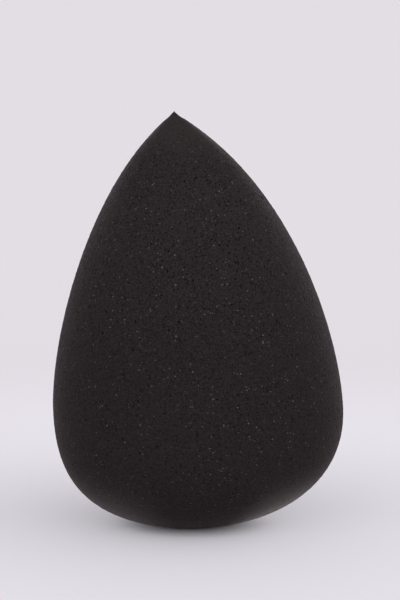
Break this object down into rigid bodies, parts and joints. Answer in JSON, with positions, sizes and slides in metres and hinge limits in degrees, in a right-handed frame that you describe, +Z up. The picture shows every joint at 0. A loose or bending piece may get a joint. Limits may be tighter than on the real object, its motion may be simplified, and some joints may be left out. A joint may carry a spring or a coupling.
{
  "type": "makeup sponge",
  "caption": "Teardrop makeup sponge of fine black open-cell foam, with a pointed tip for small areas, a round base for blending and a small flat foot to stand on.",
  "frame": {"origin": "middle of the small flat foot that the sponge stands on", "axes": "+Z up from the foot to the tip; +X to the right as the picture sees it, so the tip leans towards -X; +Y away from the viewer"},
  "size_m": [0.0422, 0.0422, 0.06],
  "materials": {
    "foam": "matte"
  },
  "bodies": {
    "root": {"sponge_body": "foam"}
  },
  "joints": []
}
